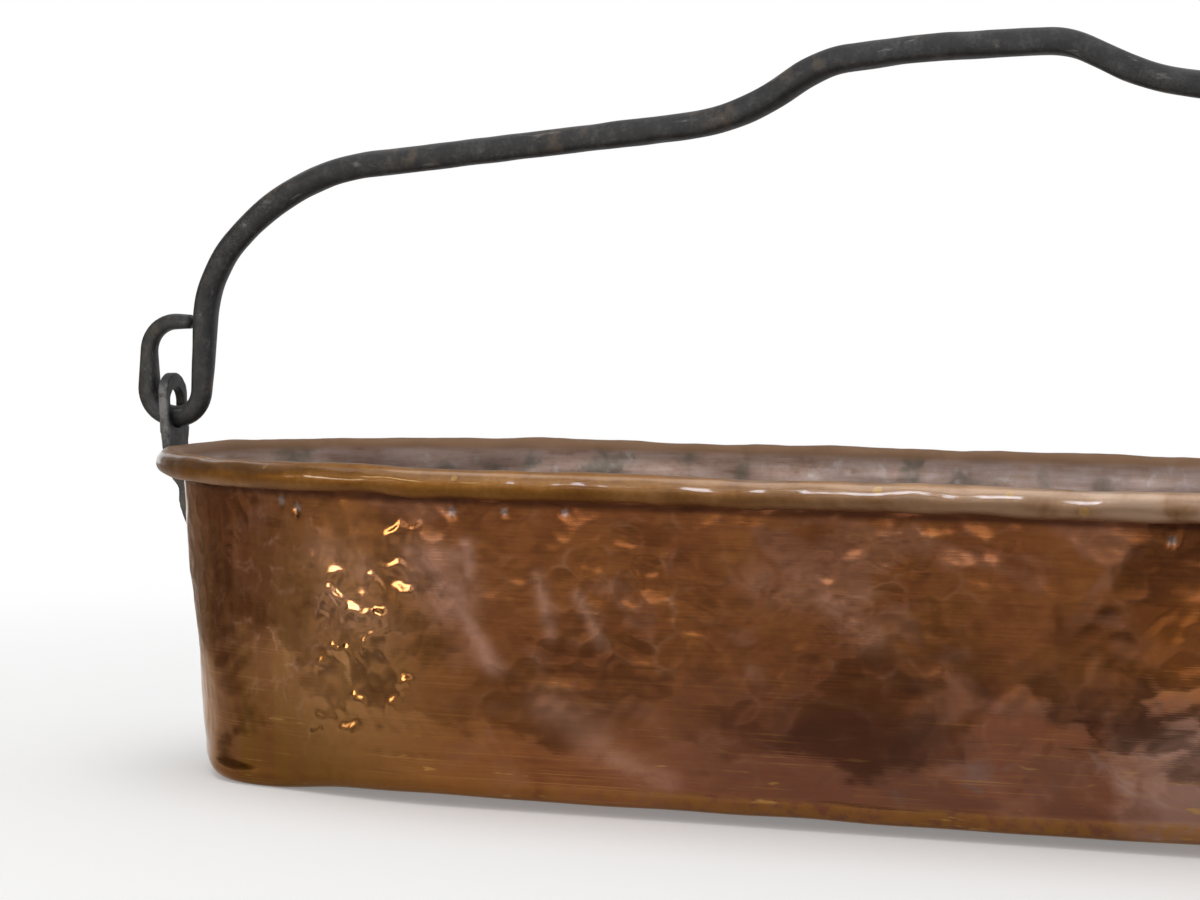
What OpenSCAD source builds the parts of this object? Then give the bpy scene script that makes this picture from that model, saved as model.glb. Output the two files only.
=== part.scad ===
// Copper fish kettle with a wired rim and a forged iron bail.
// X runs along the kettle, Z is up, and the origin is under its middle, on the surface it stands on.

/* [Kettle] */
// Length over the rim
kettle_length = 744; // [640:1:900]
// Width over the rim
kettle_width = 235; // [205:1:260]
// Height to the top of the rim
kettle_height = 140; // [115:1:200]
// Radius of the rim's middle line at each end
tip_r = 84; // [65:1:95]
// Radius of the rim's middle line where an end runs into a side
shoulder_r = 256; // [200:1:400]
// Lean of the wall, in degrees from upright
wall_lean = 5.2; // [0:0.1:10]
// Thickness of the wall sheet
wall_t = 1.4; // [1:0.1:2.5]
// Outside radius of the rounded foot
foot_r = 6; // [4:0.5:12]
// Width of the flange that is folded in under the bottom
flange_w = 12; // [6:1:25]
// Thickness of the bottom sheet
bottom_t = 1.6; // [1:0.1:3]
// Thickness of the iron wire in the rim
wire_d = 8.8; // [6:0.2:12]

/* [Ears] */
// Thickness of the ear's strap
strap_t = 4.6; // [3:0.1:6]
// Width of the strap where it passes the rim
strap_w = 16.5; // [14:0.5:20]
// Width of the leaf that is riveted to the wall
leaf_w = 22; // [16:1:30]
// Height of the leaf
leaf_h = 52; // [46:1:64]
// Depth of the leaf's upper end below the top of the rim
leaf_drop = 44; // [36:1:50]
// Width of the eye's slot
slot_w = 13; // [12:0.5:16]
// Height of the eye's slot
slot_h = 18.4; // [16:0.2:24]
// Height of the slot's lower end above the top of the rim
slot_rise = 7.1; // [6:0.1:14]
// Iron left at each side of the slot
eye_side = 3.7; // [3:0.1:6]
// Iron left above the slot
eye_top = 6.8; // [4:0.1:9]
// Lean of the eye out from the rim, in degrees
eye_lean = 3.3; // [0:0.1:5]
// Thickness of a rivet's shank
rivet_d = 5; // [3:0.1:6]
// Width of a rivet's head
rivet_head_d = 9; // [7:0.1:11]
// Height of a rivet's head
rivet_head_h = 2.2; // [1.5:0.1:3]
// Distance from one rivet to the next
rivet_pitch = 15; // [12:0.5:18]

/* [Bail] */
// Thickness of the bar in the arms and the grip
bar_d = 11.8; // [10:0.1:13]
// Thickness of the bar at the bottom of a hook
hook_d = 9.8; // [8:0.1:11]
// Thickness of the bar at the top of a hook
hook_top_d = 7.5; // [6:0.1:9]
// Thickness of the bar at a hook's tip
hook_tip_d = 6.5; // [5:0.1:8]
// Bend radius of a hook's two lower corners
hook_r = 12.8; // [11:0.1:15]
// Straight length of bar at the bottom of a hook, which lies in the eye
hook_flat = 1; // [1:0.5:6]
// Bend radius of a hook's upper turn
hook_top_r = 10; // [6:0.5:11]
// Distance of a hook's middle inside the eye it hangs in
hook_inset = 0.7; // [0:0.1:3]
// Height of a hook's upper turn above the hinge line
hook_h = 43.6; // [40:0.1:55]
// Distance a leg leans in between its hook and its shoulder
leg_lean = 3.6; // [0:0.1:5]
// Height of the left shoulder's upper bend above the hinge line
left_shoulder_h = 111.5; // [105:0.5:125]
// Height of the right shoulder's upper bend above the hinge line
right_shoulder_h = 129.5; // [105:0.5:140]
// Distance of a shoulder's upper bend in from the leg, and of its lower bend below the upper one
shoulder_run = 45.4; // [40:0.1:50]
// Radius of a shoulder's lower bend
leg_bend_r = 57; // [40:1:60]
// Radius of a shoulder's upper bend
arm_bend_r = 107; // [60:1:110]
// Height of the left arm's inner end above the hinge line
left_arm_h = 134.5; // [130:0.5:140]
// Height of the right arm's inner end above the hinge line
right_arm_h = 149.6; // [140:0.1:155]
// Height of the grip's left end above the hinge line
grip_left_h = 159; // [152:0.5:170]
// Height of the grip's crown above the hinge line
grip_crown_h = 164.7; // [155:0.1:175]
// Height of the grip's right end above the hinge line
grip_right_h = 167; // [155:0.5:180]
// Distance of the grip's left end from the middle
grip_left = 63; // [55:1:80]
// Distance of the grip's right end from the middle
grip_right = 45; // [40:1:80]
// Distance of the grip's crown to the left of the middle
grip_crown = 18; // [10:1:22]
// Run of each bend that lifts the grip above the arms
lift_run = 38.5; // [38:0.5:60]

/* [Clearances] */
// Gap all round the wire in the rim
wire_gap = 0.2; // [0.1:0.05:0.5]
// Film of solder between the bottom and the wall's flange
solder_gap = 0.1; // [0.05:0.05:0.3]
// Gap between a riveted piece and its seat
seat_gap = 0.1; // [0.05:0.05:0.3]
// Gap round a rivet's shank
shank_gap = 0.1; // [0.05:0.05:0.3]
// Gap between the ear's strap and the rim
strap_gap = 0.4; // [0.2:0.1:1]
// Gap under the hook's bar where it rests in the eye
hook_gap = 0.3; // [0.2:0.05:0.6]

/* [Hidden] */
$fn = 72;
join_skin = 0.02;
join_reach = 0.25;
bar_skin = 0.06;
copper = "#8f5527";
iron = "#3d3c3b";

// The rolled rim: the sheet's upper edge is curled outwards round the wire
curl_r = wire_d / 2 + wire_gap;
bead_r = curl_r + wall_t;
bead_z = kettle_height - bead_r;
curl_open = 45;

// Plan of the rim's middle line: straight sides, shoulder arcs and end arcs that meet smoothly
half_length = kettle_length / 2 - bead_r;
half_width = kettle_width / 2 - bead_r;
shoulder_angle = acos((shoulder_r - half_width) / (shoulder_r - tip_r));
tip_x = half_length - tip_r;
straight_half = tip_x - (shoulder_r - tip_r) * sin(shoulder_angle);

// Distance of the wall's outer face from the rim's middle line at a height, below zero inside it
function wall_out(z) = -curl_r / cos(wall_lean) - (bead_z - z) * tan(wall_lean);
foot_u = wall_out(0) - foot_r * (1 - sin(wall_lean)) / cos(wall_lean);

// The ear, seen along Y, as distance from the end arc's axis and height
function wall_r(z) = tip_r + wall_out(z);
leaf_top_z = kettle_height - leaf_drop;
leaf_foot_z = leaf_top_z - leaf_h;
leaf_sink = leaf_w * leaf_w / (8 * wall_r(leaf_foot_z)) + seat_gap;
leaf_face = seat_gap + strap_t - leaf_sink;
function leaf_x(z) = wall_r(z) + (leaf_face - strap_t / 2) / cos(wall_lean);
neck_out = 1;
neck_rise = 17;
neck_drop = 7;
rim_drop = 4;
neck_x = tip_r + neck_out;
neck_foot_z = leaf_top_z + neck_rise;
neck_top_z = bead_z - bead_r - neck_drop;
rim_x = tip_r + bead_r + strap_gap + strap_t / 2;
rim_z = bead_z - rim_drop;
function eye_x(z) = rim_x + (z - rim_z) * tan(eye_lean);
slot_z = kettle_height + slot_rise;
eye_r = slot_w / 2 + eye_side;
eye_top_z = slot_z + slot_h + eye_top;
strap_path = [[leaf_x(leaf_foot_z), leaf_foot_z], [leaf_x(leaf_top_z), leaf_top_z], [neck_x, neck_foot_z],
              [neck_x, neck_top_z], [rim_x, rim_z], [eye_x(eye_top_z), eye_top_z]];
leaf_bend_r = 16;
neck_bend_r = 6;
rim_bend_r = 9;
strap_bends = [0, leaf_bend_r, leaf_bend_r, neck_bend_r, rim_bend_r, 0];

// The bail's middle line, seen along Y: corners from the left hook's tip to the right hook's tip
hinge_z = slot_z + hook_gap + hook_d / 2;
hook_x = tip_x + eye_x(hinge_z) - hook_inset;
heel_x = hook_x - hook_r - hook_flat / 2;
leg_x = heel_x - leg_lean;
limb_x = hook_x + hook_r + hook_flat / 2;
tip_gap = 0.6;
left_foot_h = left_shoulder_h - shoulder_run;
right_foot_h = right_shoulder_h - shoulder_run;
function hook_end(foot_h) =
    heel_x - leg_lean * hook_h / foot_h + bar_d / 2 + tip_gap + hook_tip_d / 2;
bail_path = [[-hook_end(left_foot_h), hook_h], [-limb_x, hook_h], [-limb_x, 0], [-heel_x, 0],
             [-leg_x, left_foot_h], [shoulder_run - leg_x, left_shoulder_h],
             [-grip_left - lift_run, left_arm_h], [-grip_left, grip_left_h], [-grip_crown, grip_crown_h],
             [grip_right, grip_right_h], [grip_right + lift_run, right_arm_h],
             [leg_x - shoulder_run, right_shoulder_h], [leg_x, right_foot_h],
             [heel_x, 0], [limb_x, 0], [limb_x, hook_h], [hook_end(right_foot_h), hook_h]];
lift_r = 100;
grip_left_r = 58;
grip_right_r = 40;
crown_r = 300;
bail_bends = [0, hook_top_r, hook_r, hook_r, leg_bend_r, arm_bend_r, lift_r, grip_left_r, crown_r,
              grip_right_r, lift_r, arm_bend_r, leg_bend_r, hook_r, hook_r, hook_top_r, 0];
bail_sizes = [hook_tip_d, hook_top_d, hook_d, hook_d, bar_d, bar_d, bar_d, bar_d, bar_d,
              bar_d, bar_d, bar_d, bar_d, hook_d, hook_d, hook_top_d, hook_tip_d];

// A path of straight runs with a round bend at each inner corner
function heading(path, i) = (path[i + 1] - path[i]) / norm(path[i + 1] - path[i]);
function across(v) = [-v.y, v.x];
function turn(path, i) = atan2(cross(heading(path, i - 1), heading(path, i)),
                               heading(path, i - 1) * heading(path, i));
function is_bend(path, i) = i > 0 && i < len(path) - 1;
function trim(path, bends, i) = is_bend(path, i) ? bends[i] * tan(abs(turn(path, i)) / 2) : 0;
function run_start(path, bends, i) = path[i] + heading(path, i) * trim(path, bends, i);
function run_length(path, bends, i) =
    norm(path[i + 1] - path[i]) - trim(path, bends, i) - trim(path, bends, i + 1);

// Places its child at the start of run i, with +X along the run
module at_run(path, bends, i) {
    start = run_start(path, bends, i);
    along = heading(path, i);
    translate([start.x, start.y, 0])
        rotate(atan2(along.y, along.x))
            children();
}

// Turns its child, a section drawn out from the bend's centre, through the bend at corner i
module at_bend(path, bends, i) {
    angle = turn(path, i);
    along = heading(path, i - 1);
    start = path[i] - along * trim(path, bends, i);
    centre = start + across(along) * sign(angle) * bends[i];
    first = atan2(start.y - centre.y, start.x - centre.x);
    translate([centre.x, centre.y, 0])
        rotate(angle > 0 ? first : first + angle)
            rotate_extrude(angle = abs(angle))
                translate([bends[i], 0])
                    children();
}

// Carries a section, drawn as distance out from the rim's middle line and height, once round the kettle.
// The first child is the section on the shoulders. The second is a hair thinner, for the sides and ends,
// which reach into the shoulders so that all of it is one solid.
module around_kettle() {
    for (side = [0, 1]) mirror([0, side, 0]) {
        translate([-straight_half - join_reach, half_width, 0])
            rotate([90, 0, 90])
                linear_extrude(2 * (straight_half + join_reach))
                    children(1);
        for (end = [0, 1]) mirror([end, 0, 0])
            translate([straight_half, half_width - shoulder_r, 0])
                rotate(90 - shoulder_angle)
                    rotate_extrude(angle = shoulder_angle)
                        translate([shoulder_r, 0])
                            children(0);
    }
    tip_angle = 90 - shoulder_angle + asin(join_reach / tip_r);
    for (end = [0, 1]) mirror([end, 0, 0])
        translate([tip_x, 0, 0])
            rotate(-tip_angle)
                rotate_extrude(angle = 2 * tip_angle)
                    translate([tip_r, 0])
                        children(1);
}

// Flat plan of everything that lies more than an inset inside the rim's middle line
module plan_within(inset) {
    reach = 2 * half_width;
    square([2 * straight_half, 2 * (half_width - inset)], center = true);
    for (side = [0, 1], end = [0, 1]) mirror([0, side]) mirror([end, 0]) intersection() {
        translate([straight_half, half_width - shoulder_r]) circle(r = shoulder_r - inset);
        polygon([[straight_half, 0], [tip_x, 0],
                 [tip_x + reach * sin(shoulder_angle), reach * cos(shoulder_angle)], [straight_half, reach]]);
    }
    for (end = [-1, 1]) translate([end * tip_x, 0]) circle(r = tip_r - inset);
}

// Points of an arc, in equal steps of no more than a given angle
function arc(centre, r, from, to, step = 18) =
    let (steps = ceil(abs(to - from) / step))
    [for (k = [0 : steps]) let (a = from + (to - from) * k / steps) centre + r * [cos(a), sin(a)]];

// Section of the wall sheet, less a skin on both faces: folded flange, rounded foot, leaning side
// and the curl over the wire, out along one face and back along the other
module wall_section(skin) {
    foot_centre = [foot_u, foot_r];
    bead_centre = [0, bead_z];
    curl_from = 180 - wall_lean;
    curl_to = curl_from - 360 + curl_open;
    flange_u = foot_u - flange_w + skin;
    polygon(concat(
        [[flange_u, skin]],
        arc(foot_centre, foot_r - skin, -90, -wall_lean),
        arc(bead_centre, curl_r + skin, curl_from, curl_to),
        arc(bead_centre, bead_r - skin, curl_to, curl_from),
        arc(foot_centre, foot_r - wall_t + skin, -wall_lean, -90),
        [[flange_u, wall_t - skin]]));
}

// Places its child on the wall's outer face at the right end, with +X out of the wall
module on_wall(z) {
    translate([tip_x + wall_r(z), 0, z]) rotate([0, wall_lean, 0]) children();
}

rivets = 3;
function rivet_z(i) = leaf_foot_z + leaf_w / 2 + i * rivet_pitch;

// Hole for rivet i, through the wall and the leaf on it
module rivet_hole(i) {
    drill = 40;
    on_wall(rivet_z(i)) rotate([0, 90, 0])
        cylinder(d = rivet_d + 2 * shank_gap, h = drill, center = true);
}

// Rivet i of the right ear, counted upwards: a domed head inside the kettle, a shank and one on the strap
module rivet(i) {
    z = rivet_z(i);
    head_r = rivet_head_d / 2;
    dome_r = (head_r * head_r + rivet_head_h * rivet_head_h) / (2 * rivet_head_h);
    sink = dome_r - rivet_head_h;
    rise = asin(sink / dome_r);
    strap_face = leaf_face + seat_gap;
    wall_face = -wall_t - seat_gap - head_r * head_r / (2 * (wall_r(z) - wall_t));
    color(copper) on_wall(z) rotate([0, 90, 0]) rotate_extrude()
        polygon(concat(arc([0, wall_face + sink], dome_r, -90, -rise),
                       [[rivet_d / 2, wall_face], [rivet_d / 2, strap_face]],
                       arc([0, strap_face - sink], dome_r, rise, 90)));
}

// Outline of the ear seen along X: round eye, strap and round-ended leaf
module ear_outline() {
    spread = 12;
    side = [[eye_r, slot_z], [strap_w / 2, bead_z], [strap_w / 2, leaf_top_z + spread],
            [leaf_w / 2, leaf_top_z - spread]];
    polygon(concat(arc([0, eye_top_z - eye_r], eye_r, 0, 180, 10),
                   [for (p = side) [-p.x, p.y]],
                   arc([0, leaf_foot_z + leaf_w / 2], leaf_w / 2, 180, 360, 10),
                   [for (k = [len(side) - 1 : -1 : 0]) side[k]]));
}

// The strap as a bent bar, wider than its outline
module strap_bar() {
    spare = 2;
    width = 2 * max(eye_r, leaf_w / 2, strap_w / 2) + spare;
    run_w = width - 2 * join_skin;
    run_t = strap_t - 2 * join_skin;
    rotate([90, 0, 0]) {
        for (i = [0 : len(strap_path) - 2])
            at_run(strap_path, strap_bends, i)
                translate([-join_reach, -run_t / 2, -run_w / 2])
                    cube([run_length(strap_path, strap_bends, i) + 2 * join_reach, run_t, run_w]);
        for (i = [1 : len(strap_path) - 2])
            at_bend(strap_path, strap_bends, i) square([strap_t, width], center = true);
    }
}

// Slot through the eye, with round ends
module eye_slot() {
    depth = 4 * strap_t;
    translate([tip_x + eye_x(slot_z) - depth / 2, 0, slot_z + slot_w / 2]) rotate([0, 90, 0]) {
        cylinder(d = slot_w, h = depth);
        translate([slot_w - slot_h, 0, 0]) cylinder(d = slot_w, h = depth);
        translate([slot_w - slot_h, -slot_w / 2, 0]) cube([slot_h - slot_w, slot_w, depth]);
    }
}

// Ear at the right end: bent strap, cut to its outline, fitted to the wall, slotted and drilled
module ear() {
    color(iron) difference() {
        intersection() {
            translate([tip_x, 0, 0]) strap_bar();
            translate([tip_x, 0, 0]) rotate([90, 0, 90]) linear_extrude(2 * tip_r) ear_outline();
        }
        translate([tip_x, 0, 0])
            cylinder(r1 = wall_r(0) + seat_gap, r2 = wall_r(bead_z) + seat_gap, h = bead_z, $fn = 144);
        eye_slot();
        for (i = [0 : rivets - 1]) rivet_hole(i);
    }
}

module kettle_wall() {
    color(copper) difference() {
        around_kettle() {
            wall_section(0);
            wall_section(join_skin);
        }
        for (end = [0, 1], i = [0 : rivets - 1]) mirror([end, 0, 0]) rivet_hole(i);
    }
}

module kettle_bottom() {
    color(copper) translate([0, 0, wall_t + solder_gap])
        linear_extrude(bottom_t) plan_within(solder_gap - foot_u);
}

module rim_wire() {
    color(iron) around_kettle() {
        translate([0, bead_z]) circle(d = wire_d);
        translate([0, bead_z]) circle(d = wire_d - 2 * join_skin);
    }
}

// Run i of the bail: a straight length of bar, a hair thinner than the bends that it reaches into
module bail_run(i) {
    length = run_length(bail_path, bail_bends, i);
    growth = (bail_sizes[i + 1] - bail_sizes[i]) / length * join_reach;
    at_run(bail_path, bail_bends, i) translate([-join_reach, 0, 0]) rotate([0, 90, 0])
        cylinder(d1 = bail_sizes[i] - 2 * bar_skin - growth,
                 d2 = bail_sizes[i + 1] - 2 * bar_skin + growth, h = length + 2 * join_reach);
}

module bail() {
    last = len(bail_path) - 1;
    color(iron) translate([0, 0, hinge_z]) rotate([90, 0, 0]) {
        for (i = [0 : last - 1]) bail_run(i);
        for (i = [1 : last - 1]) at_bend(bail_path, bail_bends, i) circle(d = bail_sizes[i]);
        for (i = [0, last]) translate([bail_path[i].x, bail_path[i].y, 0]) sphere(d = bail_sizes[i]);
    }
}

kettle_wall();
kettle_bottom();
rim_wire();
mirror([1, 0, 0]) ear();  // left_ear
ear();  // right_ear
mirror([1, 0, 0]) rivet(2);  // left_rivet_top
mirror([1, 0, 0]) rivet(1);  // left_rivet_middle
mirror([1, 0, 0]) rivet(0);  // left_rivet_bottom
rivet(2);  // right_rivet_top
rivet(1);  // right_rivet_middle
rivet(0);  // right_rivet_bottom
bail();
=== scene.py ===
"""Looks of a copper fish kettle: hammered wall, wired rim, tinned lining, forged iron ears and bail."""
import math

import bpy
import numpy as np
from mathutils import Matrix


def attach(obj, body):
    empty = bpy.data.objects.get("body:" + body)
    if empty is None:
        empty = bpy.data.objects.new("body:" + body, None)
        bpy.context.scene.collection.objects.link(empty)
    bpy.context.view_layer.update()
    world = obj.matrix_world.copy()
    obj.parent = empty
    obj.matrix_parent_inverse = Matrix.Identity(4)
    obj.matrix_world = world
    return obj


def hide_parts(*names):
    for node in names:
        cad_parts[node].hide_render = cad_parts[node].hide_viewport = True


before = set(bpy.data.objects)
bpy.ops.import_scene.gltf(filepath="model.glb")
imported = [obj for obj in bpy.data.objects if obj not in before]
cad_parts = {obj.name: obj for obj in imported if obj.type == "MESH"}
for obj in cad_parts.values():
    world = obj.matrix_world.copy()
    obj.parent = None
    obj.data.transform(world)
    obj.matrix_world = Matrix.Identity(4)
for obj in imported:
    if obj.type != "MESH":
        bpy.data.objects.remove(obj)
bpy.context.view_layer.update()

MM = 0.001
WHITE = (1.0, 1.0, 1.0, 1.0)

# Sizes of the kettle in millimetres, the same as the solids'
HALF_LENGTH = 366.0
HALF_WIDTH = 111.5
TIP_R = 84.0
SHOULDER_R = 256.0
BEAD_R = 6.0
CURL_R = 4.6
BEAD_Z = 134.0
WIRE_R = 4.3
WALL_T = 1.4
FOOT_R = 6.0
FLANGE_W = 12.0
BOTTOM_T = 1.6
SOLDER = 0.1
LEAN = math.radians(5.2)
CURL_OPEN = math.radians(45)

# Plan of the rim's middle line: sides, shoulder arcs and end arcs laid end to end
SHOULDER_TURN = math.acos((SHOULDER_R - HALF_WIDTH) / (SHOULDER_R - TIP_R))
TIP_X = HALF_LENGTH - TIP_R
SIDE_HALF = TIP_X - (SHOULDER_R - TIP_R) * math.sin(SHOULDER_TURN)
SHOULDER_RUN = SHOULDER_R * SHOULDER_TURN
TIP_RUN = TIP_R * (math.pi - 2 * SHOULDER_TURN)
END_RUNS = [SHOULDER_RUN, TIP_RUN, SHOULDER_RUN]
END_BENDS = [1 / SHOULDER_R, 1 / TIP_R, 1 / SHOULDER_R]
PLAN_RUNS = np.array([SIDE_HALF, *END_RUNS, 2 * SIDE_HALF, *END_RUNS, SIDE_HALF])
PLAN_BENDS = np.array([0, *END_BENDS, 0, *END_BENDS, 0])
PLAN_STARTS = np.concatenate([[0.0], np.cumsum(PLAN_RUNS)])
GIRTH = PLAN_STARTS[-1]
LEFT_TIP = PLAN_STARTS[2] + TIP_RUN / 2
RIGHT_TIP = PLAN_STARTS[6] + TIP_RUN / 2


def direction(angle):
    """Unit vector at an angle from +X."""
    return np.stack([np.cos(angle), np.sin(angle)], -1)


def unit(vectors):
    """These vectors, each made 1 long."""
    return vectors / np.linalg.norm(vectors, axis=-1, keepdims=True)


def way_along(first, now, run, bend):
    """Way from the start of a run to where the outward angle has turned from first to now: on a straight
    the run times the heading, on an arc its radius times the difference of the outward directions."""
    curved = np.where(bend == 0, 1.0, bend)[..., None]
    straight = run[..., None] * direction(now + math.pi / 2)
    return np.where(bend[..., None] == 0, straight, (direction(now) - direction(first)) / curved)


# Outward angle and first point of each run of the plan, worked out from the far side's middle
PLAN_ANGLES = math.pi / 2 + np.concatenate([[0.0], np.cumsum(PLAN_RUNS * PLAN_BENDS)])
PLAN_WAYS = way_along(PLAN_ANGLES[:-1], PLAN_ANGLES[1:], PLAN_RUNS, PLAN_BENDS)
PLAN_POINTS = np.array([0.0, HALF_WIDTH]) + np.concatenate([[[0.0, 0.0]], np.cumsum(PLAN_WAYS, 0)])


def rim_line(s):
    """Point and outward direction at arc length s on the rim's middle line."""
    s = np.mod(s, GIRTH)
    i = np.clip(np.searchsorted(PLAN_STARTS, s, side="right") - 1, 0, len(PLAN_RUNS) - 1)
    run, bend, first = s - PLAN_STARTS[i], PLAN_BENDS[i], PLAN_ANGLES[i]
    now = first + run * bend
    return PLAN_POINTS[i] + way_along(first, now, run, bend), direction(now)


def wall_out(z):
    """Distance of the wall's outer face out from the rim's middle line: it leans in towards the foot."""
    return -CURL_R / math.cos(LEAN) - (BEAD_Z - z) * math.tan(LEAN)


FOOT_U = wall_out(0.0) - FOOT_R * (1 - math.sin(LEAN)) / math.cos(LEAN)


def around(s, centre):
    """Signed distance along the rim from a place, the short way round."""
    return np.mod(s - centre + GIRTH / 2, GIRTH) - GIRTH / 2


def from_ears(s):
    """Distance along the rim from the nearer ear."""
    return np.minimum(np.abs(around(s, LEFT_TIP)), np.abs(around(s, RIGHT_TIP)))


def hill(distance, half):
    """Bell that is 1 at no distance and falls to 1/e at half."""
    return np.exp(-(distance / half) ** 2)


def rise(value, low, high):
    """Straight ramp that is 0 below low and 1 above high."""
    return np.clip((value - low) / (high - low), 0, 1)


# Ripples of the old sheet: seed, number of waves, most turns round the kettle, least height of a wave
RIM_SWAY = (3, 6, 12, 100.0)
WALL_SWAY = (4, 14, 24, 80.0)
RIM_WAVE = (5, 6, 16, 100.0)
RIM_FLUTTER = (6, 8, 46, 100.0)
FOOT_WAVE = (8, 6, 30, 100.0)
BLOW_FORCE = (13, 10, 16, 90.0)
SHEET_SWELL = (14, 24, 34, 52.0)
SKIN_SOFT = (17, 30, 90, 22.0)
LIP_WAVE = (18, 12, 30, 100.0)
SKIN_FINE = (19, 30, 230, 8.0)
MARK_SHIFT_S = (21, 8, 60, 40.0)
MARK_SHIFT_Z = (22, 8, 60, 40.0)
RIDGE_SHIFT_S = (23, 12, 260, 7.0)
RIDGE_SHIFT_Z = (24, 12, 260, 7.0)
RIDGE_UNEVEN = (25, 12, 200, 9.0)
ROLL_SWELL = (31, 16, 64, 40.0)
ROLL_FINE = (32, 16, 180, 40.0)


def ripple(s, z, seed, count, turns, tall):
    """Sum of sine waves over the unrolled wall: up to so many turns round it, and no shorter than tall
    in height, with an even spread of about 1."""
    rng = np.random.default_rng(seed)
    round_it = rng.integers(1, turns + 1, count) * rng.choice([-1, 1], count)
    up_it = rng.uniform(-1, 1, count) * 2 * math.pi / tall
    phase = rng.uniform(0, 2 * math.pi, count)
    total = np.zeros(np.broadcast(s, z).shape)
    for k in range(count):
        total += np.sin(s * (2 * math.pi * round_it[k] / GIRTH) + z * up_it[k] + phase[k])
    return total / math.sqrt(count / 2)


# Planishing marks: pitch of their rows, how many times wider than tall, seed
BIG_MARKS = (12.0, 1.3, 11)
SMALL_MARKS = (7.0, 1.3, 12)
FRESH_MARKS = (8.5, 1.3, 15)
BOTTOM_MARKS = (15.0, 1.0, 51)
MARKED_HEIGHT = 200


def hammer_marks(s, z, pitch, wide, seed):
    """Dish and edge of the planishing marks on the unrolled wall, from 0 to 1. Marks lie unevenly in level
    rows of the pitch, every other row half a step along, each an oval so many times wider than tall. A
    mark's dish is its own depth times 1 less the square of the distance over its radius, and the deepest
    of the marks around a place holds there. The edge is a bell about each outline, where none is deep."""
    rng = np.random.default_rng(seed)
    columns = int(round(GIRTH / (pitch * wide)))
    rows = int(MARKED_HEIGHT / pitch) + 4
    width = GIRTH / columns
    place = rng.uniform(0.2, 0.8, (columns, rows, 2))
    depth = rng.uniform(0.3, 1.0, (columns, rows))
    radius = pitch * rng.uniform(0.44, 0.74, (columns, rows))
    row = np.floor(z / pitch).astype(int) + 2
    dish = np.zeros(np.broadcast(s, z).shape)
    edge = np.zeros_like(dish)
    for j in (-1, 0, 1):
        shift = 0.5 * np.mod(row + j, 2)
        column = np.floor(s / width - shift).astype(int)
        for i in (-1, 0, 1):
            c, r = np.mod(column + i, columns), np.clip(row + j, 0, rows - 1)
            ds = (s - (column + i + shift + place[c, r, 0]) * width) / wide
            dz = z - (row + j - 2 + place[c, r, 1]) * pitch
            share = np.hypot(ds, dz) / radius[c, r]
            dish = np.maximum(dish, depth[c, r] * np.clip(1 - share ** 2, 0, None))
            edge = np.maximum(edge, depth[c, r] * hill(share - 1, 0.14))
    return dish, edge * (1 - np.clip(2.5 * dish, 0, 1))


def crease(s, z, start, end, half, height):
    """Long soft dent: a bell of the distance to the straight line from one place on the wall to another."""
    run, climb = end[0] - start[0], end[1] - start[1]
    ds, dz = around(s, start[0]), z - start[1]
    share = np.clip((ds * run + dz * climb) / (run ** 2 + climb ** 2), 0, 1)
    return height * hill(np.hypot(ds - share * run, dz - share * climb), half)


RIDGE_ABOVE, RIDGE_BELOW = 1.8, 4.2
RIDGE_HEIGHT = 0.55
RIDGE_ARCH = 0.035


def ridge(s, z, start, end):
    """Arched ridge above a blow: along its chord it tapers at both ends, and across it is a bell about an
    arc that sinks by the arch times the square of the distance from the middle, steep above and gentle
    below. Lower ridges stand higher."""
    run, climb = end[0] - start[0], end[1] - start[1]
    long = math.hypot(run, climb)
    ds = around(s, (start[0] + end[0]) / 2)
    dz = z - (start[1] + end[1]) / 2
    along = (ds * run + dz * climb) / long
    across = (dz * run - ds * climb) / long + RIDGE_ARCH * along ** 2
    bell = hill(across, np.where(across > 0, RIDGE_ABOVE, RIDGE_BELOW))
    height = RIDGE_HEIGHT * (1.5 - 0.5 * (start[1] + end[1]) / 180)
    return height * bell * np.exp(-(along / (long / 2 + 2)) ** 4)


# The knocked foot corner: arc length, and how far it stands out and down, how long and how high
FOOT_CORNER = 514.0
CORNER_OUT, OUT_LONG, OUT_TALL = 8.5, 28.0, 26.0
CORNER_DOWN, DOWN_LONG, DOWN_TALL = 4.0, 48.0, 30.0
DOWN_SHIFT = 14.0
RIM_TOP = 140.0
EAR_CLEAR = 24.0


def clear_of_ears(s):
    """1 along the sides, and 0 where an ear's strap lies on the wall and the rim."""
    return 1 - np.exp(-(from_ears(s) / EAR_CLEAR) ** 4)


def settle(s, z):
    """How far the old sheet stands out and up from its drawn place. The rim waves up and down and in and
    out, which dies away towards the foot, and the near left foot corner is knocked out and down."""
    share = np.clip(z / RIM_TOP, 0, 1)
    above = np.clip(z, 0, None)
    level = 0 * z
    free = clear_of_ears(s)
    out = free * (0.5 * share * ripple(s, level, *RIM_SWAY) + 0.25 * ripple(s, z, *WALL_SWAY))
    up = free * share * (0.32 * ripple(s, level, *RIM_WAVE) + 0.08 * ripple(s, level, *RIM_FLUTTER))
    out = out + CORNER_OUT * hill(around(s, FOOT_CORNER), OUT_LONG) * np.exp(-above / OUT_TALL)
    sunk = hill(around(s, FOOT_CORNER + DOWN_SHIFT), DOWN_LONG) * np.exp(-above / DOWN_TALL)
    up = up - CORNER_DOWN * sunk - 0.22 * (1 - share) * ripple(s, level, *FOOT_WAVE) * free
    return out, up


def place_on_kettle(s, u, z, out, up):
    """Points in metres of a section (u out from the rim's line, z high) moved by out and up, at s."""
    point, away = rim_line(s)
    flat = point + away * (u + out)[..., None]
    return np.concatenate([flat, (z + up)[..., None]], -1) * MM


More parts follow.
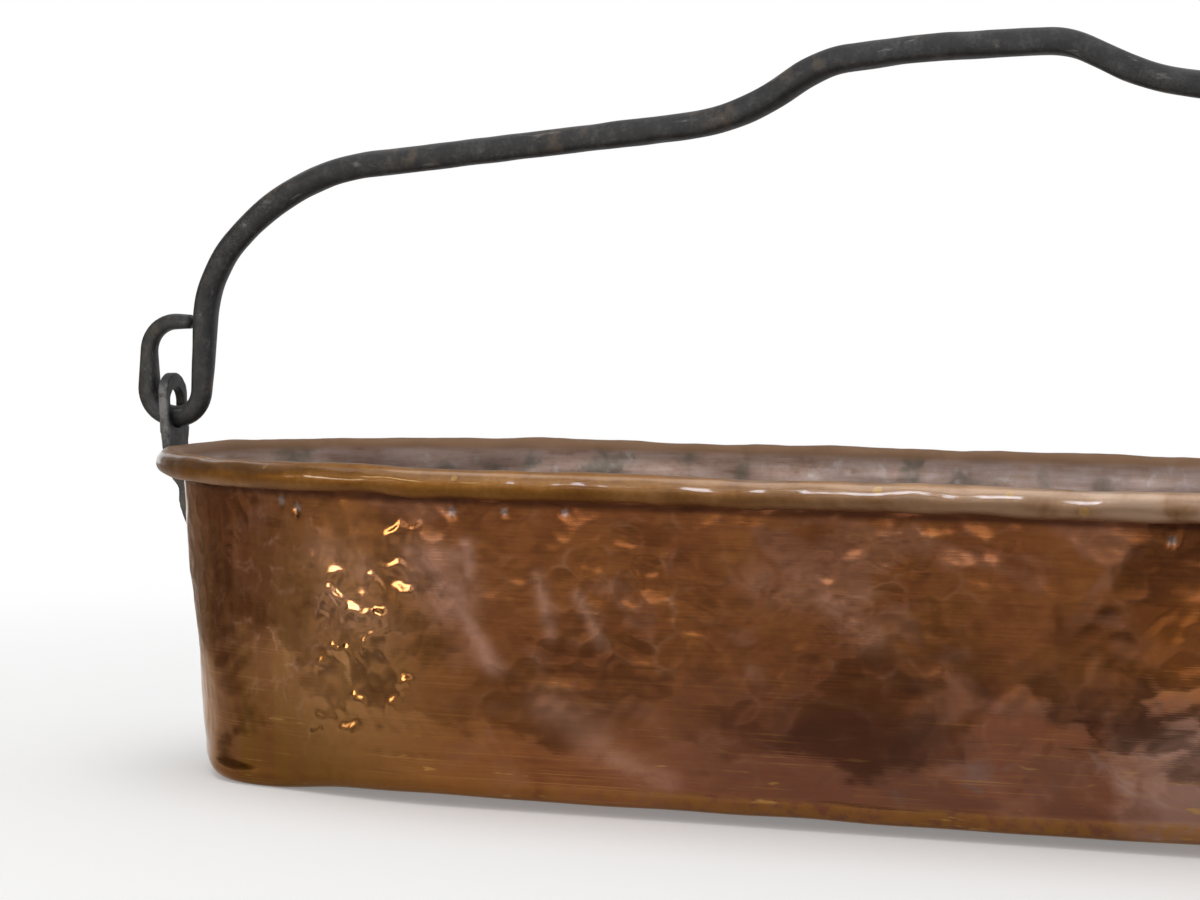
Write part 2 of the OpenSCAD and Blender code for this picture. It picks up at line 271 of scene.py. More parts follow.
def on_rim(s, angle, radius):
    """Points of a circle, by its angle and radius, about the settled rim line."""
    out, up = settle(s, np.full_like(s, BEAD_Z))
    return place_on_kettle(s, radius * np.cos(angle), BEAD_Z + radius * np.sin(angle), out, up)


def spread(rows, columns):
    """Values of a grid's rows and of its columns, as two grids."""
    return np.meshgrid(rows, columns, indexing="ij")


def ring_arcs(count):
    """So many even arc lengths once round the kettle."""
    return np.arange(count) * GIRTH / count


def strip_faces(rows, columns, ring_rows, ring_columns):
    """Quads of a grid, rows by columns; a ring joins its last line to its first."""
    row, column = spread(np.arange(rows if ring_rows else rows - 1),
                         np.arange(columns if ring_columns else columns - 1))
    next_row, next_column = (row + 1) % rows, (column + 1) % columns
    corners = [row * columns + column, row * columns + next_column,
               next_row * columns + next_column, next_row * columns + column]
    return np.stack(corners, -1).reshape(-1, 4)


def linked(name, data):
    """A new object of the scene that shows this data."""
    made = bpy.data.objects.new(name, data)
    bpy.context.scene.collection.objects.link(made)
    return made


def make_piece(name, points, body, slot, material, *nodes, rings=(False, True), marks=None):
    """A smooth mesh piece from a grid of points, with per-point values, riding on a body. The rings say
    whether the grid's rows and its columns close."""
    quads = strip_faces(*points.shape[:2], *rings)
    mesh = bpy.data.meshes.new(name)
    flat = np.ascontiguousarray(points.reshape(-1, 3), np.float32)
    mesh.vertices.add(len(flat))
    mesh.vertices.foreach_set("co", flat.ravel())
    mesh.loops.add(quads.size)
    mesh.loops.foreach_set("vertex_index", quads.ravel().astype(np.int32))
    mesh.polygons.add(len(quads))
    mesh.polygons.foreach_set("loop_start", np.arange(0, quads.size, 4, dtype=np.int32))
    mesh.update(calc_edges=True)
    mesh.validate()
    mesh.shade_smooth()
    for key, values in (marks or {}).items():
        layer = mesh.attributes.new(key, "FLOAT", "POINT")
        layer.data.foreach_set("value", np.ascontiguousarray(values.ravel(), np.float32))
    mesh.materials.append(material)
    piece = linked(name, mesh)
    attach(piece, body)
    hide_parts(*nodes)


class Wire:
    """One output of a node tree. Sums, differences and products of wires add Math nodes."""

    def __init__(self, tree, socket=None):
        self.tree, self.socket = tree, socket

    def node(self, kind, settings=(), inputs=(), out=0):
        """Adds a node of a type: its settings first, then its inputs' values or links. Gives an output."""
        made = self.tree.nodes.new("ShaderNode" + kind)
        for key, value in dict(settings).items():
            setattr(made, key, value)
        for key, value in dict(inputs).items():
            if isinstance(value, Wire):
                self.tree.links.new(value.socket, made.inputs[key])
            else:
                made.inputs[key].default_value = value
        return Wire(self.tree, made.outputs[out])

    def math(self, operation, a, b=0.0):
        return self.node("Math", {"operation": operation}, {0: a, 1: b})

    def __add__(self, other):
        return self.math("ADD", self, other)

    __radd__ = __add__

    def __sub__(self, other):
        return self.math("SUBTRACT", self, other)

    def __rsub__(self, other):
        return self.math("SUBTRACT", other, self)

    def __mul__(self, other):
        return self.math("MULTIPLY", self, other)

    __rmul__ = __mul__

    def most(self, other):
        """The greater of this value and another."""
        return self.math("MAXIMUM", self, other)

    def step(self, low, high, start=0.0, end=1.0):
        """Smooth step of this value: start below low, end above high."""
        return self.node("MapRange", {"interpolation_type": "SMOOTHSTEP", "clamp": True},
                         {"Value": self, "From Min": low, "From Max": high, "To Min": start, "To Max": end})

    def ragged(self, noise, reach):
        """This value pushed to and fro by a noise, over so much in all."""
        return self + reach * (noise - 0.5)

    def ramp(self, stops):
        """Colour of this value on a ramp of places and colours."""
        made = self.node("ValToRGB", (), {0: self})
        elements = made.socket.node.color_ramp.elements
        while len(elements) < len(stops):
            elements.new(0.5)
        for element, (at, colour) in zip(elements, stops):
            element.position, element.color = at, (*colour, 1.0)
        return made

    def layered(self, layers):
        """This colour with layers of other colours mixed over it in turn, each by its share."""
        colour = self
        for tint, share in layers:
            colour = self.node("Mix", {"data_type": "RGBA"}, {0: share, 6: colour, 7: (*tint, 1.0)}, out=2)
        return colour

    def mark(self, name):
        """A value of the mesh's points."""
        return self.node("Attribute", {"attribute_name": name}, out="Fac")

    def axis(self, number):
        """One of this vector's parts."""
        return self.node("SeparateXYZ", (), {0: self}, out=number)

    def stretched(self, x, y, z):
        """This vector times a factor in each direction."""
        return self.node("VectorMath", {"operation": "MULTIPLY"}, {0: self, 1: (x, y, z)})

    def grain(self, scale, detail=3.0, roughness=0.55, distortion=0.0):
        """Fractal noise at this place, from 0 to 1, with so many lumps to a unit of length."""
        return self.node("TexNoise", {"noise_dimensions": "3D"},
                         {"Vector": self, "Scale": scale, "Detail": detail, "Roughness": roughness,
                          "Distortion": distortion})


def clean_tree(owner):
    """The emptied node tree of a material or a world, as a wire to start from."""
    owner.use_nodes = True
    owner.node_tree.nodes.clear()
    return Wire(owner.node_tree)


def new_material(name):
    """An empty material, the start of its tree, and a place on the object in millimetres."""
    material = bpy.data.materials.new(name)
    start = clean_tree(material)
    return material, start, start.node("TexCoord", out="Object").stretched(1000.0, 1000.0, 1000.0)


def end_tree(kind, shader):
    """Links a shader to its tree's output."""
    made = shader.tree.nodes.new("ShaderNode" + kind)
    shader.tree.links.new(shader.socket, made.inputs["Surface"])


def finish_material(start, values, bump, strength, depth):
    """Ends a material in one shader with these inputs and a bump, its depth in millimetres."""
    normal = start.node("Bump", (), {"Height": bump, "Strength": strength, "Distance": depth * MM})
    end_tree("OutputMaterial", start.node("BsdfPrincipled", (), {**values, "Normal": normal}))


# Colours of the wall's copper, from its ramp to the stains and rubs over it, and the painted reflections,
# highlights and shade laid on it
COPPER_RAMP = [(0.30, (0.135, 0.037, 0.013)), (0.46, (0.230, 0.077, 0.022)),
               (0.60, (0.295, 0.108, 0.029)), (0.78, (0.380, 0.160, 0.042))]
OLIVE_BROWN = (0.124, 0.050, 0.001)
# Painted highlight: a brighter golden sheen about the glints of the near left shoulder
SHOULDER_GOLD_SHEEN = (0.400, 0.196, 0.072)
PLUM_BROWN = (0.138, 0.048, 0.029)
STONE_GREY = (0.150, 0.100, 0.085)
# Painted reflection: salmon sheen patches of brighter room areas, more of it higher up
SALMON_PINK_REFLECTION = (0.350, 0.165, 0.105)
# Painted reflection: pale pink of brighter surroundings, low on the near side towards the right
PALE_PINK_REFLECTION = (0.480, 0.290, 0.220)
WARM_ORANGE = (0.470, 0.155, 0.032)
# Painted reflection: vertical red-brown streaks that the tight curve of the left end mirrors
STREAK_RED_REFLECTION = (0.130, 0.034, 0.010)
TIDE_BROWN = (0.100, 0.042, 0.026)
DISH_BROWN = (0.095, 0.030, 0.009)
EDGE_PINK = (0.440, 0.230, 0.140)
# Rubbed skin and painted sheen: pale pink smear marks
SMEAR_PINK_SHEEN = (0.560, 0.310, 0.220)
# Painted highlight: pale grey glints in the bottoms of the small dents under the rim
DENT_GLINT_GREY = (0.330, 0.300, 0.300)
RUBBED_COPPER = (0.340, 0.160, 0.045)
LIP_GOLD = (0.260, 0.110, 0.018)
DASH_YELLOW = (0.440, 0.240, 0.060)
# Painted shade: dark brown on the wall just under the rolled rim, where the roll shades it
UNDER_RIM_SHADE_BROWN = (0.060, 0.016, 0.005)
COPPER_SHEEN = (0.92, 0.76, 0.62, 1.0)


def copper_of_wall():
    """Old brown copper under a thin glossy skin: patches of orange, red and olive brown, purple and grey
    low down, darker in the hammer marks and rubbed on their edges, brushed level, with a golden lip.
    Painted reflections and highlights lie over it: salmon and pale pinkish sheens, red-brown reflected
    streaks on the left end, a golden sheen about the shoulder's glints, pale rubs that are partly painted
    sheen, and pale painted glints in the dents under the rim; painted shade darkens it just under the rim."""
    material, start, place = new_material("hammered_copper_wall")
    x, y, z = place.axis(0), place.axis(1), place.axis(2)
    broad = place.grain(0.010, 3.0, 0.6)
    patch = place.stretched(1.0, 1.0, 1.3).grain(0.030, 4.0, 0.62, 0.5)
    other = place.stretched(1.0, 1.0, 1.2).grain(0.022, 4.0, 0.65, 0.8)
    fine = place.grain(0.16, 4.0, 0.65)
    brushed = place.stretched(0.05, 0.05, 1.0).grain(0.75, 3.0, 0.65)
    scratch = place.stretched(0.008, 0.008, 1.0).grain(1.5, 2.0, 0.7)
    streak = place.stretched(1.0, 1.0, 0.03).grain(0.12, 3.0, 0.6)
    tide = place.stretched(1.0, 1.0, 1.5).grain(0.030, 3.0, 0.52, 0.7)
    # Patches of the painted salmon reflection
    pink = place.stretched(1.0, 1.0, 1.5).grain(0.024, 3.0, 0.55, 0.4).step(0.52, 0.64)
    broken = place.grain(0.085, 2.0, 0.5).step(0.44, 0.60)
    dashes = place.stretched(0.16, 0.16, 1.0).grain(0.36, 2.0, 0.5).step(0.68, 0.75) * z.step(42.0, 14.0)
    near_side = y.step(0.0, -40.0)
    olive = x.ragged(broad, 90.0).step(-290.0, -130.0, 1.0, 0.0)
    olive = olive * z.ragged(patch, 80.0).step(140.0, 20.0, 0.2, 0.95)
    low = z.ragged(other, 70.0).step(28.0, 76.0, 1.0, 0.0)
    # Where the painted pale pink reflection lies: low on the near side, right of the middle
    pale = x.ragged(other, 90.0).step(84.0, 124.0) * x.ragged(patch, 120.0).step(250.0, 170.0)
    pale = pale * near_side * z.ragged(patch, 70.0).step(74.0, 36.0)
    warm = x.ragged(other, 110.0).step(82.0, 132.0) * x.ragged(patch, 110.0).step(220.0, 150.0)
    warm = warm * z.ragged(patch, 80.0).step(48.0, 82.0) * z.ragged(other, 80.0).step(118.0, 82.0)
    tidal = x.ragged(broad, 60.0).step(-150.0, 20.0) * z.ragged(patch, 50.0).step(84.0, 48.0)
    rubbed = scratch.step(0.57, 0.70) * z.step(105.0, 40.0) * other.step(0.38, 0.58)
    colour = (patch * 0.5 + broad * 0.2 + brushed * 0.3).ramp(COPPER_RAMP).layered([
        (OLIVE_BROWN, olive),
        # Painted golden sheen about the shoulder's glints
        (SHOULDER_GOLD_SHEEN, start.mark("gold_sheen") * (other + 0.5 * fine).step(0.34, 0.86) * 0.85),
        (PLUM_BROWN, low * x.ragged(broad, 90.0).step(-190.0, -40.0) * 0.75),
        (STONE_GREY, low * other.step(0.55, 0.66) * x.step(-120.0, 60.0) * 0.6),
        # Painted salmon reflection, less in the olive and low down
        (SALMON_PINK_REFLECTION, pink * (1.0 - olive) * z.step(24.0, 66.0, 0.16, 0.42)),
        # Painted pale pink reflection
        (PALE_PINK_REFLECTION, pale * 0.58),
        (WARM_ORANGE, warm * near_side * 0.75),
        # Painted reflected streaks on the left end
        (STREAK_RED_REFLECTION, streak.step(0.32, 0.62) * x.step(-335.0, -240.0, 0.85, 0.0)),
        (TIDE_BROWN, tide.step(0.46, 0.56) * tidal * 0.42),
        (DISH_BROWN, start.mark("dish") * fine.step(0.34, 0.60) * 0.28),
        (EDGE_PINK, start.mark("edge") * broken * patch.step(0.25, 0.55) * 0.45),
        # Pale pink smear marks: partly rubbed skin, partly painted sheen
        (SMEAR_PINK_SHEEN, start.mark("pale") * (patch + 0.5 * fine).step(0.36, 0.88) * 0.80),
        # Painted glints in the small dents under the rim
        (DENT_GLINT_GREY, start.mark("grey").step(0.2, 0.9) * 0.5),
        (RUBBED_COPPER, rubbed * 0.6),
        (LIP_GOLD, start.mark("lip") * fine.step(0.30, 0.60) * 0.7),
        (DASH_YELLOW, dashes * 0.55),
        # Painted shade just under the rolled rim
        (UNDER_RIM_SHADE_BROWN, z.ragged(patch, 1.5).step(123.2, 126.6) * 0.85)])
    rough = 0.05 + 0.05 * fine + 0.07 * patch + 0.05 * brushed
    finish_material(start, {"Base Color": colour, "Metallic": 1.0, "Roughness": rough, "Coat Weight": 0.20,
                            "Specular Tint": COPPER_SHEEN, "Coat Roughness": 0.12, "Coat IOR": 1.5},
                    fine * 0.4 + scratch * 0.2 + brushed * 0.3, 0.22, 0.3)
    return material


# Colours of the rolled rim and the rivets
RIM_RAMP = [(0.30, (0.125, 0.045, 0.010)), (0.50, (0.200, 0.086, 0.018)), (0.72, (0.290, 0.140, 0.040))]
# Painted reflection: pale greyish sheen of the rim, growing towards the right
RIM_PALE_SHEEN = (0.420, 0.300, 0.215)
SOLDER_YELLOW = (0.420, 0.260, 0.070)
# Grey wash near the ears, also a painted sheen at the rim's ends
WASH_AND_SHEEN_GREY = (0.420, 0.400, 0.385)
DULL_BROWN = (0.085, 0.030, 0.012)


def copper_of_rim(name, dull=0.0):
    """Rubbed golden-brown copper of the rolled rim under a glossy skin, with yellow solder spots, a grey
    wash near the ears that also paints the sheen at the rim's ends, and a painted pale greyish reflection
    that grows towards the right; a dull share browns it."""
    material, start, place = new_material(name)
    x, z = place.axis(0), place.axis(2)
    patch = place.grain(0.04, 4.0, 0.6, 0.4)
    fine = place.grain(0.3, 4.0, 0.65)
    colour = (patch * 0.6 + fine * 0.4).ramp(RIM_RAMP).layered([
        # Painted pale reflection, growing towards the right
        (RIM_PALE_SHEEN, x.step(-160.0, 170.0, 0.0, 0.78) * patch.step(0.15, 0.60)),
        (SOLDER_YELLOW, start.mark("spot").ragged(fine, 0.5).step(0.40, 0.60) * 0.5),
        # Grey wash and painted sheen near the ears
        (WASH_AND_SHEEN_GREY, start.mark("wash").ragged(patch, 0.7).step(0.30, 1.00) * 0.85),
        (DULL_BROWN, dull)])
    glossy = z.step(133.6, 135.2) * z.step(139.6, 138.6)
    finish_material(start, {"Base Color": colour, "Metallic": 1.0, "Roughness": 0.44 + 0.14 * fine,
                            "Coat Weight": glossy, "Coat Roughness": 0.10, "Coat IOR": 1.5}, fine, 0.10, 0.2)
    return material


# Colours of the tin lining
TIN_RAMP = [(0.32, (0.190, 0.110, 0.072)), (0.46, (0.335, 0.230, 0.185)),
            (0.58, (0.410, 0.315, 0.275)), (0.75, (0.540, 0.460, 0.430))]
STAIN_OLIVE = (0.115, 0.110, 0.080)
BRIGHT_TIN = (0.560, 0.540, 0.510)
TOP_BROWN = (0.190, 0.105, 0.055)
SEAM_BROWN = (0.075, 0.062, 0.050)


def tin_of_lining():
    """Dull grey tin, wiped on thinly: brownish mauve where copper shows through and along the top, dark
    olive stains in the hollows, bare bright spots and a dirty seam at the bottom's edge."""
    material, start, place = new_material("tinned_copper_lining")
    z = place.axis(2)
    patch = place.grain(0.035, 4.0, 0.62, 0.5)
    fine = place.grain(0.16, 4.0, 0.7)
    streak = place.stretched(0.12, 0.12, 1.0).grain(0.5, 3.0, 0.6)
    stain = (place.grain(0.055, 3.0, 0.5) + 0.10 * start.mark("dish")).step(0.52, 0.68)
    spot = place.grain(0.10, 3.0, 0.6).step(0.60, 0.74)
    seam = start.mark("seam")
    colour = (patch * 0.45 + fine * 0.25 + streak * 0.30).ramp(TIN_RAMP).layered([
        (STAIN_OLIVE, stain * fine.step(0.15, 0.60) * 0.7),
        (BRIGHT_TIN, spot * 0.35),
        (TOP_BROWN, z.ragged(patch, 2.0).step(133.5, 137.0) * 0.9),
        (SEAM_BROWN, seam * (0.55 + 0.6 * (patch - 0.5)))])
    rough = 0.34 + 0.20 * fine + 0.25 * z.step(128.0, 135.0) + 0.3 * seam
    finish_material(start, {"Base Color": colour, "Metallic": 0.85, "Roughness": rough}, fine, 0.3, 0.3)
    return material


# Colours of the forged iron
IRON_RAMP = [(0.32, (0.014, 0.014, 0.015)), (0.50, (0.029, 0.029, 0.030)), (0.68, (0.066, 0.066, 0.066))]
RUST_BROWN = (0.105, 0.068, 0.036)
SCRATCH_GREY = (0.230, 0.225, 0.215)
PIT_GREY = (0.300, 0.300, 0.295)
BARE_GREY = (0.200, 0.200, 0.200)


def forged_iron(name, rust_share, bare_from=50.0):
    """Black forge scale on wrought iron: rough mottled grain, bare grey rubs and scratches, brown rust, and
    bare edges further than bare_from to the side of the middle line."""
    material, start, place = new_material(name)
    patch = place.grain(0.035, 4.0, 0.6)
    mottle = place.grain(0.14, 4.0, 0.65)
    fine = place.grain(0.55, 5.0, 0.7)
    pits = place.grain(1.3, 3.0, 0.6)
    line = place.stretched(0.06, 1.0, 0.16).grain(0.9, 4.0, 0.65)
    side = start.math("ABSOLUTE", place.axis(1))
    colour = (fine * 0.45 + mottle * 0.55).ramp(IRON_RAMP).layered([
        (RUST_BROWN, patch.step(0.52, 0.68) * mottle.step(0.4, 0.62) * rust_share),
        (SCRATCH_GREY, line.step(0.60, 0.74) * 0.55),
        (PIT_GREY, pits.step(0.68, 0.76) * mottle.step(0.48, 0.66) * 0.6),
        (BARE_GREY, side.step(bare_from, bare_from + 2.0) * mottle.step(0.30, 0.60) * 0.8)])
    finish_material(start, {"Base Color": colour, "Metallic": 0.35, "Roughness": 0.40 + 0.3 * fine},
                    fine * 0.5 + pits * 0.25 + mottle * 0.6, 0.55, 0.5)
    return material


# Small round dents under the rim: arc length, height, radius and depth
RIM_DENTS = [(559, 123, 3.4, 0.5), (569, 120, 3.2, 0.6), (650, 122, 3.0, 0.5), (674, 123, 2.6, 0.35),
             (701, 123, 2.6, 0.4), (955, 121, 3.0, 0.4), (240, 122, 3.0, 0.4), (1530, 119, 3.2, 0.5)]

# Larger knocks on the near left shoulder: arc length, height, radius and depth
SHOULDER_KNOCKS = [(580, 74, 5.0, 0.45), (597, 72, 5.0, 0.45), (621, 93, 5.0, 0.50), (576, 33, 4.5, 0.45),
                   (587, 52, 8.0, 0.50), (601, 87, 5.0, 0.35), (610, 56, 7.0, 0.30)]

# Sharp ridges beside those knocks: two ends as arc length and height
SHOULDER_RIDGES = [((617, 110), (630, 116)), ((615, 98), (627, 97)), ((586, 93), (595, 92)),
                   ((609, 93), (615, 88)), ((623, 88), (628, 88)), ((575, 79), (583, 80)),
                   ((583, 87), (595, 81)), ((594, 77), (602, 77)), ((612, 77), (615, 75)),
                   ((602, 65), (614, 69)), ((578, 59), (598, 60)), ((589, 39), (599, 40)),
                   ((614, 38), (623, 43)), ((620, 47), (626, 49)), ((572, 30), (580, 31)),
                   ((571, 24), (577, 23)), ((587, 25), (596, 28))]

# Long soft dents of the near side: two ends as arc length and height, half width, height out of the wall
WALL_CREASES = [((632, 106), (666, 60), 6.5, 0.35), ((688, 94), (693, 68), 3.5, 0.25),
                ((711, 84), (715, 64), 3.0, 0.25), ((590, 112), (586, 40), 7.0, -0.5),
                ((862, 60), (872, 20), 6.0, 0.3), ((905, 96), (916, 50), 6.0, 0.3)]

# Pale pink smear marks, partly rubbed skin and partly painted sheen; the last two are a painted highlight
# about the shoulder's glints: two ends as arc length and height, half width, share
SMEARS_AND_SHEENS = [((637, 98), (648, 86), 12.0, 1.0), ((650, 84), (667, 58), 4.2, 0.9),
          ((629, 104), (656, 103), 4.0, 0.8), ((656, 108), (657, 96), 3.5, 0.9),
          ((688, 96), (693, 72), 3.2, 0.7), ((706, 88), (716, 68), 3.2, 0.6),
          ((690, 42), (712, 28), 8.0, 0.45), ((718, 22), (744, 12), 5.0, 0.4),
          ((786, 98), (826, 92), 9.0, 0.4), ((814, 92), (832, 78), 7.0, 0.7),
          ((582, 100), (602, 94), 9.0, 0.5), ((588, 82), (612, 70), 11.0, 0.35)]

# Places on the wall as arc length and half length, and as height and half height where they have one
SHOULDER_AT, SHOULDER_LONG = 602.0, 36.0
SMOOTH_AT, SMOOTH_LONG = 975.0, 130.0
FRESH_Z, FRESH_TALL = 74.0, 36.0
RIMMED_AT, RIMMED_LONG, RIMMED_Z, RIMMED_TALL = 562.0, 52.0, 84.0, 34.0
# Where the painted golden sheen about the shoulder's glints lies
GOLD_SHEEN_AT, GOLD_SHEEN_LONG, GOLD_SHEEN_Z, GOLD_SHEEN_TALL = 592.0, 40.0, 68.0, 46.0
WORN_AT, WORN_LONG = 560.0, 120.0
CROWD_AT, CROWD_LONG, CROWD_MORE = 600.0, 60.0, 1.2

# Depths of the planishing marks and heights of the sheet's own unevenness
BIG_DEPTH, SMALL_DEPTH, FRESH_DEPTH = 0.46, 0.14, 0.30
SWELL_HEIGHT, SKIN_HEIGHT, FINE_HEIGHT = 0.30, 0.05, 0.018
MARK_SHIFT = 1.3
RIM_PALENESS = 2.6


def shoulder(s):
    """1 on the near left shoulder, where the sheet has fresh knocks."""
    return hill(around(s, SHOULDER_AT), SHOULDER_LONG)


def free_of_edges(s, z):
    """1 on the open wall, and 0 at the foot, in the curl and under the ears."""
    return rise(z, 9, 19) * rise(BEAD_Z - z, 2, 8) * (1 - hill(from_ears(s), 20.0))


def blow_strength(s, z):
    """How hard the planishing blows fell: unevenly, and less low down, on the smooth part to the right
    and on top of the shoulder."""
    blows = np.clip(0.72 + 0.30 * ripple(s, z, *BLOW_FORCE), 0.25, 1.2)
    blows = blows * (0.45 + 0.55 * rise(z, 22, 58)) * (1 - 0.45 * hill(around(s, SMOOTH_AT), SMOOTH_LONG))
    return blows * (1 - shoulder(s) * (0.40 + 0.5 * rise(z, 96, 108)))


def sheet_relief(s, z):
    """Soft swells, round dents and knocks, creases and ridges of the sheet, which both its faces share."""
    calm = 1 - 0.7 * shoulder(s) * rise(z, 88, 104)
    sheet = free_of_edges(s, z) * SWELL_HEIGHT * ripple(s, z, *SHEET_SWELL) * calm
    for at, high, radius, depth in RIM_DENTS + SHOULDER_KNOCKS:
        sheet = sheet - depth * hill(np.hypot(around(s, at), z - high), radius)
    for start, end, half, height in WALL_CREASES:
        sheet = sheet + crease(s, z, start, end, half, height)
    rough_s = s + 0.8 * ripple(s, z, *RIDGE_SHIFT_S)
    rough_z = z + 0.6 * ripple(s, z, *RIDGE_SHIFT_Z)
    uneven = 0.8 + 0.25 * ripple(s, z, *RIDGE_UNEVEN)
    for start, end in SHOULDER_RIDGES:
        sheet = sheet + uneven * ridge(rough_s, rough_z, start, end)
    return sheet


def hammered(s, z):
    """Relief of the outer and the inner face, and the dish and edge of the marks. The hammer marks sink the
    outer face of the sheet, and push the inner one in by half as much. They fade out at the foot and under
    the ears. The fresh marks about the shoulder have pale edges."""
    bent_s = s + MARK_SHIFT * ripple(s, z, *MARK_SHIFT_S)
    bent_z = z + MARK_SHIFT * ripple(s, z, *MARK_SHIFT_Z)
    big, edge = hammer_marks(bent_s, bent_z, *BIG_MARKS)
    small = hammer_marks(bent_s, bent_z, *SMALL_MARKS)[0]
    fresh, fresh_edge = hammer_marks(bent_s, bent_z, *FRESH_MARKS)
    free = free_of_edges(s, z)
    blows = free * blow_strength(s, z)
    marks = blows * (BIG_DEPTH * big + SMALL_DEPTH * small)
    marks = marks + free * FRESH_DEPTH * fresh * shoulder(s) * hill(z - FRESH_Z, FRESH_TALL)
    skin = SKIN_HEIGHT * ripple(s, z, *SKIN_SOFT) + FINE_HEIGHT * ripple(s, z, *SKIN_FINE)
    rimmed = hill(around(s, RIMMED_AT), RIMMED_LONG) * hill(z - RIMMED_Z, RIMMED_TALL)
    edge = np.maximum(edge * blows, RIM_PALENESS * free * fresh_edge * rimmed)
    sheet = sheet_relief(s, z)
    return sheet - marks + free * skin, sheet - 0.5 * marks, big * blows, edge


def smears_and_sheens(s, z):
    """Pale pink smear marks as soft bells, partly rubbed skin and partly painted sheen, the pale grey
    painted glints in the bottoms of the small dents under the rim, and the painted golden sheen about the
    ridges of the near left shoulder."""
    pale, grey = np.zeros(s.shape), np.zeros(s.shape)
    for start, end, half, share in SMEARS_AND_SHEENS:
        pale = np.maximum(pale, crease(s, z, start, end, half, share))
    # Painted glints in the bottoms of the dents under the rim
    for at, high, radius, _ in RIM_DENTS:
        grey = np.maximum(grey, hill(np.hypot(around(s, at), z - high), 0.8 * radius))
    gold_sheen = hill(around(s, GOLD_SHEEN_AT), GOLD_SHEEN_LONG) * hill(z - GOLD_SHEEN_Z, GOLD_SHEEN_TALL)
    return pale, grey, gold_sheen


# Counts of the meshes: lines round the kettle, and points up the wall's section
COLUMNS = 985
HALF_COLUMNS = 760
WIRE_COLUMNS = 500
BOTTOM_COLUMNS = 560
WALL_ROWS = 117
LINING_ROWS = 70
BOTTOM_RINGS = 60

# Angles of the rolled rim's ends, and of the place where its copper gives way to the tin
CURL_FROM = math.pi - LEAN
CURL_TO = CURL_FROM - 2 * math.pi + CURL_OPEN
TIN_FROM = math.radians(78)

# Height, softness and swell of the lip above the foot
LIP_Z, LIP_SOFT, LIP_OUT = 8.0, 2.0, 0.35


def foot_arc(radius, count):
    """Points of the rounded foot, from the flange up to the wall."""
    angle = np.linspace(-math.pi / 2, -LEAN, count)
    return FOOT_U + radius * np.cos(angle), FOOT_R + radius * np.sin(angle)


def wall_outside(name, start, material):
    """Outside of one long half of the copper sheet: flange edge, flange, rounded foot and leaning wall up
    into the curl, carried along the rim's line, with the hammer marks sunk into it and a low lip above
    the foot. The halves meet under the ears, and the mesh is closer about the near left shoulder."""
    even = np.linspace(start, start + GIRTH / 2, 2000)
    crowd = np.cumsum(1 + CROWD_MORE * hill(around(even, CROWD_AT), CROWD_LONG))
    arcs = np.interp(np.linspace(crowd[0], crowd[-1], HALF_COLUMNS), crowd, even)
    arc_u, arc_z = foot_arc(FOOT_R, 9)
    wall_z = np.linspace(arc_z[-1], BEAD_Z - 2.5, WALL_ROWS)[1:]
    inner = FOOT_U - FLANGE_W
    flange = np.linspace(inner, FOOT_U, 5)[:-1]
    u = np.concatenate([[inner], flange, arc_u, wall_out(wall_z)])
    z = np.concatenate([[WALL_T], 0 * flange, arc_z, wall_z])
    all_u, s = spread(u, arcs)
    all_z = spread(z, arcs)[0]
    out, up = settle(s, all_z)
    relief, _, dish, edge = hammered(s, all_z)
    # Rubs with painted sheen, painted dent glints and the painted golden sheen, as point values
    pale, grey, gold_sheen = smears_and_sheens(s, all_z)
    worn = 1 - 0.8 * hill(around(s, WORN_AT), WORN_LONG)
    lip_top = LIP_Z + 0.4 * ripple(s, 0 * all_z, *LIP_WAVE)
    lip = np.clip((lip_top - all_z) / LIP_SOFT + 0.5, 0, 1) * worn
    swell = LIP_OUT * rise(all_z, 0, 3) * lip
    points = place_on_kettle(s, all_u, all_z, out + relief + swell, up)
    make_piece(name, points, "kettle", "hammered_copper", material, "kettle_wall", rings=(False, False),
               marks={"dish": dish, "edge": edge, "lip": lip, "pale": pale, "grey": grey, "gold_sheen": gold_sheen})


# Yellow solder spots on the roll: arc length, angle round it in degrees, radius
RIM_SPOTS = [(656, 32, 1.7), (839, 34, 2.4), (893, 30, 2.0), (923, -20, 2.4), (560, 40, 1.4),
             (1105, 20, 2.0), (1420, 30, 2.2), (230, 26, 2.0)]

# How far the grey wash, which is also a painted sheen at the rim's ends, reaches from each ear, and how
# unevenly the roll is hammered
WASH_AND_SHEEN_LONG = 84.0
ROLL_UNEVEN, ROLL_FINENESS = 0.20, 0.03


def roll_radius(s, angle):
    """Radius of the rolled rim: uneven from hammering, but true beside its seams and under the ears."""
    free = rise(CURL_FROM - angle, 0, 0.7) * rise(angle - CURL_TO, 0, 0.7) * clear_of_ears(s)
    round_it = 20 * angle
    return BEAD_R + free * (ROLL_UNEVEN * ripple(s, round_it, *ROLL_SWELL)
                            + ROLL_FINENESS * ripple(s, round_it, *ROLL_FINE))


def rim_roll():
    """Rolled rim: a circle carried round the rim's line from its open underside up to the tinned part."""
    angle, s = spread(np.linspace(CURL_TO, TIN_FROM, 27), ring_arcs(COLUMNS))
    spot = np.zeros_like(s)
    for at, turn, half in RIM_SPOTS:
        spot = np.maximum(spot, hill(np.hypot(around(s, at), BEAD_R * (angle - math.radians(turn))), half))
    make_piece("rim_roll", on_rim(s, angle, roll_radius(s, angle)), "kettle", "hammered_copper",
               copper_of_rim("hammered_copper_rim"), "kettle_wall",
               marks={"spot": spot, "wash": hill(from_ears(s), WASH_AND_SHEEN_LONG)})


